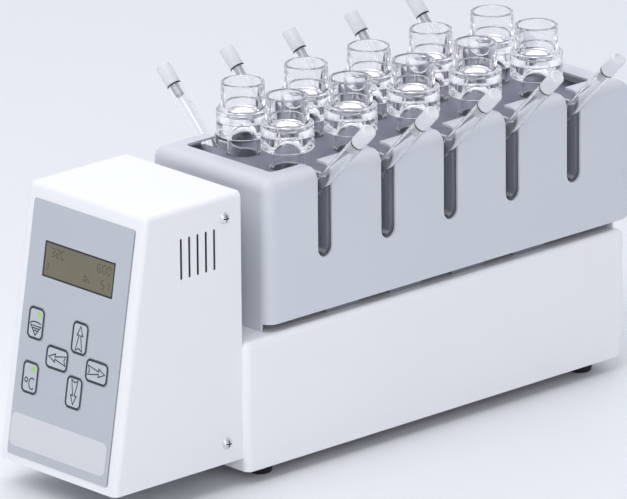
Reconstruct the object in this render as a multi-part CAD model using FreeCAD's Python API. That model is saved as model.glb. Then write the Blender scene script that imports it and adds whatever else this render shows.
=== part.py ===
import FreeCAD, Part
import math
import os

from FreeCAD import Placement, Rotation, Vector

os.makedirs("parts", exist_ok=True)

# A ten-station vertical diffusion cell tester: a sheet-metal base, a control box hung on its front end,
# and a slotted trough with a dry heating block that holds two rows of glass cells.
# Millimetres. X is to the right of the control panel, Y runs to the far end, Z is up from the bench.

# Cutting shapes run past what they cut by this much, and places are compared within this much
overrun = 2.0
hair = 0.001

# Stations: two rows of cells, mirrored left and right
stations_per_row = 5
station_pitch = 55.5
row_spacing = 42.0

# Feet
foot_height = 9.0
foot_top_diameter = 18.0
foot_tip_diameter = 15.0
foot_edge = 1.0
foot_recess_diameter = 7.0
foot_recess_depth = 4.0
foot_inset_side = 16.5
foot_inset_end = 25.5

# Base housing
base_height = 87.0
base_ledge = 4.5
base_sheet = 1.2
base_bend = 4.5
base_lip = 12.0
heel_height = 14.0
heel_depth = 6.0
heel_round = 3.0
plate_sheet = 1.5
plate_flange = 12.0
sheet_gap = 0.2

# Heating block and the spacers that carry it
block_height = 78.0
block_shoulder = 30.5
block_end = 35.0
block_edge = 1.0
well_depth = 54.0
well_clearance = 0.5
channel_clearance = 1.0
keyhole_chamfer = 0.8
spacer_height = 16.0
spacer_length = 28.0
spacer_width = 4.0
spacer_lead = 20.7
spacer_inset = 2.0

# Trough
trough_gap = 23.0
trough_end = 50.0
trough_overhang = 7.0
trough_sheet = 1.5
trough_bend = 8.0
trough_lift = 5.3
block_side_gap = 3.0
rim_above_deck = 7.5
rim_side = 15.0
rim_front = 17.3
rim_rear = 20.0
rim_corner = 4.0
finger_round = 1.0
slot_clearance = 1.5
slot_step = 1.0
rear_panel_inset = 12.0
rear_corner_round = 5.0

# Control box, set in from the base's sides by a step
control_step = 4.5
control_depth = 110.0
control_lift = 9.0
control_setback = 30.0
control_sheet = 1.2
control_bend = 4.0
chassis_flange = 24.0
vent_count = 5
vent_pitch = 7.07
vent_width = 1.8
vent_height = 27.4
vent_drop = 20.1
vent_setback = 36.9

# Keypad overlay and the display window, measured up the sloping front
overlay_side = 8.0
overlay_length = 167.5
overlay_foot = 5.0
overlay_thickness = 0.5
overlay_round = 2.0
window_width = 67.0
window_height = 23.4
window_foot = 124.4
window_clearance = 0.3

# Keys: an arrow cross and a column of two, placed from the right and left edges of the overlay
key_short = 15.0
key_long = 21.0
key_round = 3.0
key_proud = 0.3
key_depth = 1.0
key_travel = 0.5
key_clearance = 0.25
cross_inset = 39.8
cross_up = 75.3
cross_rise = 17.8
cross_reach = 19.0
column_inset = 14.2

# Circuit board behind the panel, with the display module and the switches under the keys
board_side = 10.0
board_length = 158.0
board_foot = 8.0
board_thickness = 1.6
board_drop = 8.0
board_post_diameter = 6.0
board_post_inset = 5.0
bezel_margin = 2.5
switch_width = 6.0
switch_gap = 0.2

# Power inlet with its rocker, on the rear panel of the base
inlet_across = -25.0
inlet_up = 47.0
inlet_flange_width = 62.0
inlet_flange_height = 32.0
inlet_flange_thickness = 2.0
inlet_flange_round = 3.0
inlet_body_margin = 2.5
inlet_body_depth = 22.0
socket_across = -13.0
socket_width = 24.0
socket_height = 16.5
socket_chamfer = 4.0
socket_depth = 16.0
pin_spacing = 7.0
pin_width = 2.0
pin_height = 4.0
pin_length = 12.0
pin_raise = 1.2
earth_raise = 4.0
rocker_across = 17.0
rocker_width = 13.4
rocker_radius = 9.6
rocker_axis_depth = 3.0
rocker_dip = 4.0
rocker_keel = 6.0
rocker_clearance = 0.3
rocker_tilt_deg = 10.0

# Screws
screw_diameter = 4.0
screw_length = 6.0
screw_clearance = 0.2
screw_head_diameter = 8.0
screw_head_height = 2.4
screw_from_rear = 13.65
screw_from_top = 14.9
screw_from_foot = 13.4
base_screw_shares = (0.2, 0.5, 0.8)

# Stirrer coils under the base top
coil_diameter = 32.0
coil_height = 18.0
coil_flange = 2.0
coil_recess = 2.5
coil_plate_thickness = 2.0
coil_plate_margin = 6.0
coil_post_diameter = 8.0

# Glass cells
body_diameter = 21.0
body_wall = 1.5
body_corner = 3.0
ring_diameter = 34.8
ring_edge = 0.8
ring_clearance = 5.0
receptor_ring = 10.0
receptor_cove = 3.0
receptor_throat = 3.0
orifice_diameter = 15.0
arm_diameter = 9.5
arm_wall = 1.5
arm_length = 93.0
arm_height = 18.0
arm_tilt_deg = 45.0
donor_ring = 7.5
donor_floor = 3.0
donor_tube_diameter = 28.5
donor_wall = 2.25
donor_rise = 18.0

# Stoppers in the ends of the arms
stopper_diameter = 9.8
stopper_length = 15.5
stopper_round = 1.2
stopper_gasket = 1.0
stopper_gasket_inset = 0.6
stopper_spigot_length = 8.0
stopper_spigot_clearance = 0.25

# Stirring bars in the bottoms of the cells
bar_diameter = 3.0
bar_length = 9.0
bar_clearance = 0.3

# Places worked out from the sizes above
trough_length = (stations_per_row - 1) * station_pitch + 2 * trough_end
overall_length = control_depth + trough_gap + trough_length
front = -overall_length / 2
rear = overall_length / 2
base_front = front + control_depth
base_rear = rear - trough_overhang
trough_front = base_front + trough_gap
trough_middle = rear - trough_length / 2
block_width = row_spacing + 2 * block_shoulder
block_length = (stations_per_row - 1) * station_pitch + 2 * block_end
trough_width = block_width + 2 * (block_side_gap + trough_sheet)
base_width = trough_width + 2 * base_ledge
control_width = base_width - 2 * control_step
overlay_width = control_width - 2 * overlay_side
cross_across = overlay_width / 2 - cross_inset
column_across = column_inset - overlay_width / 2
board_width = control_width - 2 * board_side
base_top = foot_height + base_height
block_foot = base_top + spacer_height
deck = block_foot + block_height
case_top = deck + rim_above_deck
control_foot = foot_height + control_lift
well_floor = deck - well_depth
slot_floor = well_floor + slot_step
ring_foot = case_top + ring_clearance
joint_plane = ring_foot + receptor_ring
well_diameter = body_diameter + 2 * well_clearance
channel_width = arm_diameter + 2 * channel_clearance
slot_width = arm_diameter + 2 * slot_clearance
slope_deg = math.degrees(math.atan2(control_setback, case_top - control_foot))
station_places = [
    trough_middle + (number - (stations_per_row - 1) / 2) * station_pitch
    for number in range(stations_per_row)
]


def save(name, shape):
    """Write one sub-part to its own file."""
    shape.exportStep("parts/" + name + ".step")


def block(x0, x1, y0, y1, z0, z1):
    """A box between two corners."""
    return Part.makeBox(x1 - x0, y1 - y0, z1 - z0, Vector(x0, y0, z0))


def post(radius, start, direction, length):
    """A round bar from a start point along a direction."""
    return Part.makeCylinder(radius, length, start, direction)


def turned(points):
    """A solid turned about Z from a closed half outline; each item is a point or an arc's middle and end."""
    edges = []
    last = points[0]
    for item in points[1:] + [points[0]]:
        if isinstance(item[0], tuple):
            middle, end = item
            edges.append(Part.Arc(upright(last), upright(middle), upright(end)).toShape())
            last = end
        else:
            edges.append(Part.makeLine(upright(last), upright(item)))
            last = item
    face = Part.Face(Part.Wire(edges))
    return face.revolve(Vector(0, 0, 0), Vector(0, 0, 1), 360)


def upright(point):
    """A radius and a height as a point in the XZ plane."""
    return Vector(point[0], 0, point[1])


def quarter(centre, radius, from_deg, to_deg):
    """The middle and the end of a round corner, for a turned outline."""
    ends = []
    for angle in ((from_deg + to_deg) / 2, to_deg):
        turn = math.radians(angle)
        ends.append((centre[0] + radius * math.cos(turn), centre[1] + radius * math.sin(turn)))
    return tuple(ends)


def prism(points, sweep):
    """A solid from a closed outline of straight sides, swept along a vector."""
    return Part.Face(Part.makePolygon(points + [points[0]])).extrude(sweep)


def rounded_pad(width, height, depth, radius):
    """A rectangular pad centred on Z, standing on Z = 0, with round upright corners."""
    pad = block(-width / 2, width / 2, -height / 2, height / 2, 0, depth)
    corners = [edge for edge in pad.Edges if edge.BoundBox.ZLength > depth - hair]
    return pad.makeFillet(radius, corners)


def folded(solid, radius, open_sides):
    """Round every edge of a solid apart from those that lie in its open sides."""
    bends = []
    for edge in solid.Edges:
        lies_open = any(all(side(vertex.Point) for vertex in edge.Vertexes) for side in open_sides)
        if not lies_open:
            bends.append(edge)
    return solid.makeFillet(radius, bends)


def moved(shape, *offset):
    """A copy of a shape at an offset."""
    copy = shape.copy()
    copy.translate(Vector(*offset))
    return copy


def joined(shapes):
    """Several touching shapes as one solid."""
    return shapes[0].fuse(shapes[1:]).removeSplitter()


def stations():
    """Number, side (1 right, -1 left) and place of each cell."""
    number = 0
    for side in (1, -1):
        for place in station_places:
            number += 1
            yield number, side, place


def on_slope(shape):
    """Put a shape that is drawn flat, X across and Y up the panel, on the sloping front."""
    tilted = shape.copy()
    turn = Rotation(Vector(1, 0, 0), 90 - slope_deg)
    tilted.Placement = Placement(Vector(0, front, control_foot), turn).multiply(tilted.Placement)
    return tilted


def key_places():
    """Name, place across, place up the slope, width and height of each key."""
    return (
        ("key_stir", column_across, cross_up + cross_rise, key_short, key_long),
        ("key_temperature", column_across, cross_up - cross_rise, key_short, key_long),
        ("key_up", cross_across, cross_up + cross_rise, key_short, key_long),
        ("key_down", cross_across, cross_up - cross_rise, key_short, key_long),
        ("key_left", cross_across - cross_reach, cross_up, key_long, key_short),
        ("key_right", cross_across + cross_reach, cross_up, key_long, key_short),
    )


def key_pad(margin, depth):
    """The outline of every key as a pad, each wider all round by a margin."""
    pads = []
    for name, across, up, width, height in key_places():
        pad = rounded_pad(width + 2 * margin, height + 2 * margin, depth, key_round + margin)
        pads.append((name, moved(pad, across, up, 0)))
    return pads


def base_cover():
    """Folded cover of the base: top, ends and sides, with lips along the foot for the bottom plate."""
    half = base_width / 2
    outer = block(-half, half, base_front, base_rear, foot_height, base_top)
    outer = folded(outer, base_bend, [lambda point: abs(point.z - foot_height) < hair])
    inside = half - base_sheet
    inner_foot = foot_height - overrun
    inner = block(-inside, inside, base_front + base_sheet, base_rear - base_sheet,
                  inner_foot, base_top - base_sheet)
    inner = folded(inner, base_bend - base_sheet, [lambda point: abs(point.z - inner_foot) < hair])
    shell = outer.cut(inner)
    lip_foot = foot_height + plate_sheet
    lip_end = base_rear - heel_depth - plate_sheet - sheet_gap
    lips = []
    for side in (1, -1):
        edges = sorted((side * (inside + base_sheet / 2), side * (inside - base_lip)))
        lips.append(block(edges[0], edges[1], base_front + base_bend, lip_end,
                          lip_foot, lip_foot + base_sheet))
    shell = joined([shell] + lips)
    for hole in base_screw_holes():
        shell = shell.cut(hole)
    shell = shell.common(base_side_outline())
    opening = rounded_pad(inlet_body_width() + 2 * sheet_gap, inlet_body_height() + 2 * sheet_gap,
                          base_sheet + 2 * overrun, inlet_flange_round)
    opening.rotate(Vector(0, 0, 0), Vector(1, 0, 0), 90)
    return shell.cut(moved(opening, inlet_across, base_rear + overrun, foot_height + inlet_up))


def base_side_outline():
    """The base seen from the side: its lower rear corner is set in, and rounded at the foot."""
    heel = base_rear - heel_depth
    step = foot_height + heel_height
    half = base_width / 2 + overrun
    body = block(-half, half, base_front - overrun, base_rear + overrun, step, base_top + overrun)
    foot = block(-half, half, base_front - overrun, heel, foot_height, step)
    corner = [edge for edge in foot.Edges
              if all(abs(v.Y - heel) < hair and abs(v.Z - foot_height) < hair for v in edge.Vertexes)]
    return joined([body, foot.makeFillet(heel_round, corner)])


def base_screw_across():
    """Distance of the bottom screws from the middle plane, halfway in on the lips."""
    return base_width / 2 - base_sheet - base_lip / 2


def base_screws():
    """Side and place of the six screws up through the bottom plate."""
    run = base_rear - base_front
    return [(side, base_front + share * run) for side in (1, -1) for share in base_screw_shares]


def base_screw_holes():
    """Clearance holes for the bottom screws, up through the plate and the lips."""
    radius = screw_diameter / 2 + screw_clearance
    length = plate_sheet + base_sheet + 2 * overrun
    holes = []
    for side, place in base_screws():
        start = Vector(side * base_screw_across(), place, foot_height - overrun)
        holes.append(post(radius, start, Vector(0, 0, 1), length))
    return holes


def base_plate():
    """Bottom plate with a joggled rear flange that closes the set-in heel of the base."""
    half = base_width / 2 - base_sheet - sheet_gap
    heel = base_rear - heel_depth
    plate_front = base_front + base_sheet + sheet_gap
    flat = block(-half, half, plate_front, heel, foot_height, foot_height + plate_sheet)
    corners = [edge for edge in flat.Edges
               if edge.BoundBox.ZLength > plate_sheet - hair and edge.BoundBox.YMax < plate_front + hair]
    flat = flat.makeFillet(base_bend, corners)
    step = foot_height + heel_height
    riser = block(-half, half, heel - plate_sheet, heel, foot_height, step + plate_sheet)
    wall = base_rear - base_sheet - sheet_gap
    shelf_half = half - base_bend
    shelf = block(-shelf_half, shelf_half, heel - plate_sheet, wall, step, step + plate_sheet)
    flange = block(-shelf_half, shelf_half, wall - plate_sheet, wall, step, step + plate_flange)
    plate = joined([flat, riser, shelf, flange])
    plate = plate.common(base_side_outline())
    for hole in base_screw_holes():
        plate = plate.cut(hole)
    return plate


def rubber_feet():
    """Four tapered feet, each with a recess for its screw."""
    top = foot_top_diameter / 2
    tip = foot_tip_diameter / 2
    recess = foot_recess_diameter / 2
    outline = [
        (0, foot_recess_depth),
        (recess, foot_recess_depth),
        (recess, 0),
        (tip - foot_edge, 0),
        (tip, foot_edge),
        (top, foot_height),
        (0, foot_height),
    ]
    foot = turned(outline)
    across = base_width / 2 - foot_inset_side
    feet = []
    for side in (1, -1):
        for place in (base_front + foot_inset_end, base_rear - foot_inset_end):
            feet.append(moved(foot, side * across, place, 0))
    return Part.makeCompound(feet)


def stirrer_coils():
    """A carrier on four posts with one flanged coil under each cell."""
    coil_top = base_top - base_sheet
    coil_foot = coil_top - coil_height
    plate_foot = coil_foot - coil_plate_thickness
    half_width = row_spacing / 2 + coil_diameter / 2 + coil_plate_margin
    half_length = (stations_per_row - 1) * station_pitch / 2 + coil_diameter / 2 + coil_plate_margin
    carrier = [block(-half_width, half_width, trough_middle - half_length, trough_middle + half_length,
                     plate_foot, coil_foot)]
    bench = foot_height + plate_sheet
    for side in (1, -1):
        for end in (1, -1):
            across = side * (half_width - coil_post_diameter)
            place = trough_middle + end * (half_length - coil_post_diameter)
            start = Vector(across, place, bench)
            carrier.append(post(coil_post_diameter / 2, start, Vector(0, 0, 1), coil_foot - bench))
    outer = coil_diameter / 2
    wound = outer - coil_recess
    outline = [
        (0, coil_foot),
        (outer, coil_foot),
        (outer, coil_foot + coil_flange),
        (wound, coil_foot + coil_flange),
        (wound, coil_top - coil_flange),
        (outer, coil_top - coil_flange),
        (outer, coil_top),
        (0, coil_top),
    ]
    coil = turned(outline)
    solids = [joined(carrier)]
    for _, side, place in stations():
        solids.append(moved(coil, side * row_spacing / 2, place, 0))
    return Part.makeCompound(solids)


def block_spacers():
    """Insulating strips between the base top and the heating block, one beside each pair of stations."""
    across = block_width / 2 - spacer_inset - spacer_width / 2
    strips = []
    for side in (1, -1):
        for place in station_places[:-1]:
            middle = place + spacer_lead
            x0 = side * across - spacer_width / 2
            strips.append(block(x0, x0 + spacer_width, middle - spacer_length / 2, middle + spacer_length / 2,
                                base_top, block_foot))
    return Part.makeCompound(strips)


def keyhole_outline(width, floor, top, flare):
    """Section of a channel across Y: straight sides, a full-round floor and a chamfered mouth."""
    half = width / 2
    shoulder = floor + half
    points = [
        Vector(0, half, shoulder),
        Vector(0, half, top - flare),
        Vector(0, half + flare, top),
        Vector(0, half + flare, top + overrun),
        Vector(0, -half - flare, top + overrun),
        Vector(0, -half - flare, top),
        Vector(0, -half, top - flare),
        Vector(0, -half, shoulder),
    ]
    pairs = [pair for pair in zip(points, points[1:]) if pair[0].distanceToPoint(pair[1]) > hair]
    edges = [Part.makeLine(first, second) for first, second in pairs]
    edges.append(Part.Arc(points[-1], Vector(0, 0, floor), points[0]).toShape())
    return Part.Face(Part.Wire(edges))


def keyhole(side, place):
    """The well of one cell and the channel that its sampling arm leaves by, both chamfered at the deck."""
    radius = well_diameter / 2
    flare = keyhole_chamfer
    outline = [
        (0, well_floor),
        (radius, well_floor),
        (radius, deck - flare),
        (radius + flare, deck),
        (radius + flare, deck + overrun),
        (0, deck + overrun),
    ]
    across = side * row_spacing / 2
    well = moved(turned(outline), across, place, 0)
    reach = block_width / 2 - row_spacing / 2 + overrun
    channel = keyhole_outline(channel_width, slot_floor, deck, flare).extrude(Vector(side * reach, 0, 0))
    return well.fuse(moved(channel, across, place, 0))


def heating_block():
    """Machined block with two rows of keyhole wells."""
    half = block_width / 2
    y0 = trough_middle - block_length / 2
    y1 = trough_middle + block_length / 2
    body = block(-half, half, y0, y1, block_foot, deck)
    uprights = [edge for edge in body.Edges if edge.BoundBox.ZLength > block_height - hair]
    body = body.makeChamfer(block_edge, uprights)
    for _, side, place in stations():
        body = body.cut(keyhole(side, place))
    return body


def cell_trough():
    """Folded trough round the block: slotted sides, a finger rim, and panels that stand on the base."""
    half = trough_width / 2
    skirt = base_top + trough_lift
    outer = block(-half, half, trough_front, rear, skirt, case_top)
    outer = folded(outer, trough_bend, trough_open_sides(skirt, rear, half))
    inside = half - trough_sheet
    inner_foot = skirt - overrun
    back = rear - trough_sheet
    inner = block(-inside, inside, trough_front + trough_sheet, back, inner_foot, case_top - trough_sheet)
    inner = folded(inner, trough_bend - trough_sheet, trough_open_sides(inner_foot, back, inside))
    shell = outer.cut(inner)
    shell = shell.common(trough_side_outline(skirt))
    shell = shell.cut(block(-inside, inside, back, rear + overrun, inner_foot, skirt + rear_corner_round))
    shell = shell.cut(rim_opening())
    for side in (1, -1):
        for place in station_places:
            shell = shell.cut(trough_slot(side, place))
    inner_edge = half - rim_side
    tips = [edge for edge in shell.Edges if is_finger_tip(edge, inner_edge)]
    shell = shell.makeFillet(finger_round, tips)
    return joined([shell] + trough_end_panels(skirt))


def trough_open_sides(foot, back, half):
    """Where the trough has no bend: along its foot and up its two rear corners."""
    return [
        lambda point: abs(point.z - foot) < hair,
        lambda point: abs(point.y - back) < hair and abs(point.x - half) < hair,
        lambda point: abs(point.y - back) < hair and abs(point.x + half) < hair,
    ]


def trough_side_outline(skirt):
    """The trough seen from the side, with its lower rear corner rounded."""
    half = trough_width / 2 + overrun
    slab = block(-half, half, trough_front - overrun, rear, skirt, case_top + overrun)
    corner = [edge for edge in slab.Edges
              if all(abs(v.Y - rear) < hair and abs(v.Z - skirt) < hair for v in edge.Vertexes)]
    return slab.makeFillet(rear_corner_round, corner)


def rim_opening():
    """The opening that the rim leaves over the block, with round corners."""
    width = trough_width - 2 * rim_side
    y0 = trough_front + rim_front
    y1 = rear - rim_rear
    opening = rounded_pad(width, y1 - y0, trough_sheet + 2 * overrun, rim_corner)
    return moved(opening, 0, (y0 + y1) / 2, case_top - trough_sheet - overrun)


def trough_slot(side, place):
    """One slot down a side panel and out through the rim."""
    inner = trough_width / 2 - rim_side - overrun
    outline = keyhole_outline(slot_width, slot_floor, case_top, 0)
    slot = outline.extrude(Vector(side * (rim_side + 2 * overrun), 0, 0))
    return moved(slot, side * inner, place, 0)


def is_finger_tip(edge, inner_edge):
    """Whether an edge is one of the upright corners at the tip of a rim finger beside a slot."""
    box = edge.BoundBox
    upright_edge = box.XLength < hair and box.YLength < hair and abs(box.ZLength - trough_sheet) < hair
    if not upright_edge or abs(abs(box.XMin) - inner_edge) > hair:
        return False
    return any(abs(abs(box.YMin - place) - slot_width / 2) < hair for place in station_places)


def trough_end_panels(skirt):
    """The front panel's lower tab and the inner rear panel, which both stand on the base."""
    tab_half = trough_width / 2 - trough_bend + trough_sheet / 2
    tab = block(-tab_half, tab_half, trough_front, trough_front + trough_sheet, base_top, skirt + trough_bend)
    wall = rear - rear_panel_inset
    wall_half = trough_width / 2 - trough_sheet
    panel = block(-wall_half, wall_half, wall - trough_sheet, wall, base_top, case_top - trough_sheet)
    corners = [edge for edge in panel.Edges
               if edge.BoundBox.YLength > trough_sheet - hair and edge.BoundBox.ZMin > base_top + hair]
    panel = panel.makeChamfer(trough_bend - trough_sheet, corners)
    return [tab, panel]


def control_prism(inset, past):
    """The control box as a solid with a sloping front, set in by a wall and run past its open sides."""
    half = control_width / 2 - inset
    lean = math.radians(slope_deg)
    foot = control_foot - past
    top = case_top - inset
    set_in = inset / math.cos(lean)
    y_foot = front + set_in + (foot - control_foot) * math.tan(lean)
    y_top = front + set_in + (top - control_foot) * math.tan(lean)
    y_back = base_front + past
    points = [Vector(-half, y_foot, foot), Vector(-half, y_top, top), Vector(-half, y_back, top),
              Vector(-half, y_back, foot)]
    solid = prism(points, Vector(2 * half, 0, 0))
    open_sides = [lambda point: abs(point.z - foot) < hair, lambda point: abs(point.y - y_back) < hair]
    return folded(solid, control_bend - inset, open_sides)


def control_cover():
    """Folded cover of the control box, open below and behind, with its cut-outs, vents and screw holes."""
    shell = control_prism(0, 0).cut(control_prism(control_sheet, overrun))
    cut_depth = control_sheet + 2 * overrun
    half = window_width / 2 + window_clearance
    window_top = window_foot + window_height + window_clearance
    window = block(-half, half, window_foot - window_clearance, window_top, 0, cut_depth)
    cuts = [window] + [pad for _, pad in key_pad(key_clearance, cut_depth)]
    for cut in cuts:
        shell = shell.cut(on_slope(moved(cut, 0, 0, -control_sheet - overrun)))
    for side in (1, -1):
        for vent in control_vents(side):
            shell = shell.cut(vent)
    for hole in control_screw_holes():
        shell = shell.cut(hole)
    return shell


def control_vents(side):
    """Narrow upright vents through one side of the control box."""
    top = case_top - vent_drop
    vents = []
    for number in range(vent_count):
        place = base_front - vent_setback + (number - (vent_count - 1) / 2) * vent_pitch
        pad = rounded_pad(vent_width, vent_height, control_sheet + 2 * overrun, vent_width / 2 - hair)
        pad.rotate(Vector(0, 0, 0), Vector(0, 0, 1), 90)
        pad.rotate(Vector(0, 0, 0), Vector(0, 1, 0), 90)
        start = side * control_width / 2 - (control_sheet / 2 + overrun)
        vents.append(moved(pad, start - side * control_sheet / 2, place, top - vent_height / 2))
    return vents


def control_screws():
    """Side, place and height of the four screws that hold the control cover."""
    place = base_front - screw_from_rear
    heights = (case_top - screw_from_top, control_foot + screw_from_foot)
    return [(side, place, height) for side in (1, -1) for height in heights]


def control_screw_holes():
    """Clearance holes for the screws through the cover and the chassis flanges."""
    radius = screw_diameter / 2 + screw_clearance
    holes = []
    for side, place, height in control_screws():
        start = Vector(side * (control_width / 2 + overrun), place, height)
        holes.append(post(radius, start, Vector(-side, 0, 0), screw_length + 2 * overrun))
    return holes


def control_chassis():
    """Floor, back and screw flanges of the control box, folded from one sheet."""
    half = control_width / 2 - control_sheet - sheet_gap
    back = base_front - control_sheet
    top = case_top - control_sheet - sheet_gap
    floor = block(-half, half, front, base_front, control_foot, control_foot + control_sheet)
    panel = block(-half, half, back, base_front, control_foot, top)
    parts = [floor, panel]
    for side in (1, -1):
        edges = sorted((side * half, side * (half - control_sheet)))
        parts.append(block(edges[0], edges[1], base_front - chassis_flange, base_front, control_foot, top))
    chassis = joined(parts).common(control_prism(control_sheet + sheet_gap, 0))
    for hole in control_screw_holes():
        chassis = chassis.cut(hole)
    return chassis


def keypad_overlay():
    """Membrane on the sloping front, with the display window and an opening round each key."""
    sheet = rounded_pad(overlay_width, overlay_length, overlay_thickness, overlay_round)
    sheet = moved(sheet, 0, overlay_foot + overlay_length / 2, 0)
    cut_depth = overlay_thickness + 2 * overrun
    half = window_width / 2
    window = block(-half, half, window_foot, window_foot + window_height, 0, cut_depth)
    for cut in [window] + [pad for _, pad in key_pad(key_clearance, cut_depth)]:
        sheet = sheet.cut(moved(cut, 0, 0, -overrun))
    return on_slope(sheet)


def keys():
    """The six keys, each a pad that passes through the overlay and the cover."""
    depth = key_depth + control_sheet + overlay_thickness + key_proud
    return [(name, on_slope(moved(pad, 0, 0, -control_sheet - key_depth))) for name, pad in key_pad(0, depth)]


def display_board():
    """Circuit board behind the panel: display module in the window, a switch under each key, four posts."""
    face = -control_sheet - board_drop
    half = board_width / 2
    board_end = board_foot + board_length
    parts = [block(-half, half, board_foot, board_end, face - board_thickness, face)]
    bezel_half = window_width / 2 + bezel_margin
    bezel_top = -control_sheet - sheet_gap
    parts.append(block(-bezel_half, bezel_half, window_foot - bezel_margin,
                       window_foot + window_height + bezel_margin, face, bezel_top))
    glass_half = window_width / 2 - window_clearance
    parts.append(block(-glass_half, glass_half, window_foot + window_clearance,
                       window_foot + window_height - window_clearance, face, overlay_thickness - sheet_gap))
    key_back = -control_sheet - key_depth
    for _, across, up, _, _ in key_places():
        pad = block(-switch_width / 2, switch_width / 2, -switch_width / 2, switch_width / 2,
                    face, key_back - key_travel - switch_gap)
        parts.append(moved(pad, across, up, 0))
    for across in (half - board_post_inset, -half + board_post_inset):
        for up in (board_foot + board_post_inset, board_end - board_post_inset):
            parts.append(post(board_post_diameter / 2, Vector(across, up, face), Vector(0, 0, 1), board_drop))
    return on_slope(joined(parts))


def inlet_body_width():
    """Width of the inlet's body behind its flange."""
    return inlet_flange_width - 2 * inlet_body_margin


def inlet_body_height():
    """Height of the inlet's body behind its flange."""
    return inlet_flange_height - 2 * inlet_body_margin


def power_inlet():
    """Mains inlet with its three pins, moulded in one frame with the rocker's seat."""
    flange = rounded_pad(inlet_flange_width, inlet_flange_height, inlet_flange_thickness, inlet_flange_round)
    body = rounded_pad(inlet_body_width(), inlet_body_height(), inlet_body_depth, inlet_flange_round)
    frame = joined([flange, moved(body, 0, 0, -inlet_body_depth)])
    w = socket_width / 2
    h = socket_height / 2
    c = socket_chamfer
    outline = [Vector(-w, -h, 0), Vector(w, -h, 0), Vector(w, h - c, 0), Vector(w - c, h, 0),
               Vector(-w + c, h, 0), Vector(-w, h - c, 0)]
    socket = prism(outline, Vector(0, 0, socket_depth + overrun))
    frame = frame.cut(moved(socket, socket_across, 0, inlet_flange_thickness - socket_depth))
    seat_half = rocker_radius + rocker_clearance
    seat_side = rocker_width / 2 + rocker_clearance
    seat_depth = rocker_axis_depth + seat_half
    seat = block(-seat_side, seat_side, -seat_half, seat_half, -seat_depth, overrun)
    frame = frame.cut(moved(seat, rocker_across, 0, inlet_flange_thickness))
    pins = []
    for across, raise_by in ((-pin_spacing, 0), (0, earth_raise), (pin_spacing, 0)):
        pin = block(-pin_width / 2, pin_width / 2, -pin_height / 2, pin_height / 2, -pin_width, pin_length)
        pin_floor = inlet_flange_thickness - socket_depth
        pins.append(moved(pin, socket_across + across, pin_raise + raise_by, pin_floor))
    return on_rear(joined([frame] + pins))


def on_rear(shape):
    """Put a shape that is drawn flat, X across and Y up, on the rear panel of the base."""
    turn = Rotation(Vector(0, 0, 1), 180).multiply(Rotation(Vector(1, 0, 0), 90))
    placed = shape.copy()
    origin = Vector(inlet_across, base_rear, foot_height + inlet_up)
    placed.Placement = Placement(origin, turn).multiply(placed.Placement)
    return placed


def power_switch():
    """Rocker with a shallow V face, tilted about a cross axis behind the flange with one end down."""
    half = rocker_width / 2
    barrel = post(rocker_radius, Vector(-half, 0, 0), Vector(1, 0, 0), rocker_width)
    rise = rocker_radius * math.tan(math.radians(rocker_tilt_deg))
    outline = [Vector(-half, -rocker_radius, -rocker_keel), Vector(-half, rocker_radius, -rocker_keel),
               Vector(-half, rocker_radius, rocker_dip + rise), Vector(-half, 0, rocker_dip),
               Vector(-half, -rocker_radius, rocker_dip + rise)]
    rocker = barrel.common(prism(outline, Vector(rocker_width, 0, 0)))
    rocker.rotate(Vector(0, 0, 0), Vector(1, 0, 0), rocker_tilt_deg)
    return on_rear(moved(rocker, rocker_across, 0, inlet_flange_thickness - rocker_axis_depth))


def cover_screws():
    """Pan-head screws: four in the sides of the control box and six up through the bottom plate."""
    radius = screw_head_diameter / 2
    shank = screw_diameter / 2
    dome_centre_drop = (radius * radius - screw_head_height * screw_head_height) / (2 * screw_head_height)
    dome_radius = dome_centre_drop + screw_head_height
    half_turn = math.degrees(math.atan2(radius, dome_centre_drop)) / 2
    middle = (dome_radius * math.sin(math.radians(half_turn)),
              dome_radius * math.cos(math.radians(half_turn)) - dome_centre_drop)
    screw = turned([
        (0, -screw_length),
        (shank, -screw_length),
        (shank, 0),
        (radius, 0),
        (middle, (0, screw_head_height)),
    ])
    screws = []
    for side, place, height in control_screws():
        copy = screw.copy()
        copy.rotate(Vector(0, 0, 0), Vector(0, 1, 0), side * 90)
        screws.append(moved(copy, side * control_width / 2, place, height))
    for side, place in base_screws():
        copy = screw.copy()
        copy.rotate(Vector(0, 0, 0), Vector(1, 0, 0), 180)
        screws.append(moved(copy, side * base_screw_across(), place, foot_height))
    return Part.makeCompound(screws)


def arm_direction(side):
    """Unit direction of a sampling arm, up and out."""
    tilt = math.radians(arm_tilt_deg)
    return Vector(side * math.cos(tilt), 0, math.sin(tilt))


def receptor(side):
    """Lower half of a glass cell: chamber, ground ring and slanting sampling arm."""
    body = body_diameter / 2
    ring = ring_diameter / 2
    chamber = body - body_wall
    orifice = orifice_diameter / 2
    outer = turned([
        (0, well_floor),
        (body - body_corner, well_floor),
        quarter((body - body_corner, well_floor + body_corner), body_corner, -90, 0),
        (body, ring_foot - receptor_cove),
        quarter((body + receptor_cove, ring_foot - receptor_cove), receptor_cove, 180, 90),
        (ring - ring_edge, ring_foot),
        quarter((ring - ring_edge, ring_foot + ring_edge), ring_edge, -90, 0),
        (ring, joint_plane),
        (0, joint_plane),
    ])
    throat = ring_foot - receptor_throat
    hollow = turned([
        (0, well_floor + body_wall),
        (chamber, well_floor + body_wall),
        (chamber, throat),
        (orifice, ring_foot),
        (orifice, joint_plane + overrun),
        (0, joint_plane + overrun),
    ])
    start = Vector(0, 0, well_floor + arm_height)
    direction = arm_direction(side)
    arm = post(arm_diameter / 2, start, direction, arm_length)
    bore = post(arm_diameter / 2 - arm_wall, start, direction, arm_length + overrun)
    return outer.fuse(arm).cut(hollow.fuse(bore))


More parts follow.
